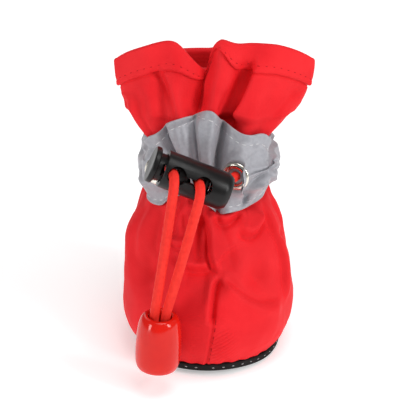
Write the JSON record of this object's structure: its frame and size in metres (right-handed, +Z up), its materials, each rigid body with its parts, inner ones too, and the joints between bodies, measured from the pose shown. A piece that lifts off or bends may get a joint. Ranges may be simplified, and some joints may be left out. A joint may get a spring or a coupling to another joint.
{
  "type": "dog bootie",
  "caption": "Soft drawcord bootie for a small dog: round foot on a thin rubber sole, cinched reflective ankle band, flaring collar, cord lock and bell end.",
  "frame": {"origin": "on the floor, under the middle of the sole's flat part", "axes": "+Z up the shaft, the toe towards -Y, +X towards the right as seen from the front"},
  "size_m": [0.0676, 0.077, 0.1043],
  "materials": {
    "upper_fabric": "woven, matt with a faint sheen",
    "reflective_band": "retroreflective cloth, soft sheen",
    "outsole_rubber": "matt rubber",
    "insole_fabric": "brushed lining",
    "cord": "braided elastic cord",
    "lock_plastic": "satin moulded plastic",
    "bell_plastic": "glossy moulded plastic",
    "eyelet_metal": "polished nickel plate"
  },
  "bodies": {
    "root": {"outsole": "outsole_rubber", "insole": "insole_fabric", "upper": "upper_fabric", "ankle_band": "reflective_band", "casing_cord": "cord", "eyelet_left": "eyelet_metal", "eyelet_right": "eyelet_metal", "cord_left": "cord", "cord_right": "cord", "lock_barrel": "lock_plastic", "bell": "bell_plastic", "bell_lid": "bell_plastic", "cord_knot": "cord"},
    "plunger": {"lock_plunger": "lock_plastic"}
  },
  "joints": [
    {"name": "lock_press", "type": "slide", "parent": "root", "child": "plunger", "axis": [0.9203, -0.03, -0.3901], "range_m": [0, 0.0021], "stiffness_N_per_m": 400, "springref_m": -0.003}
  ]
}
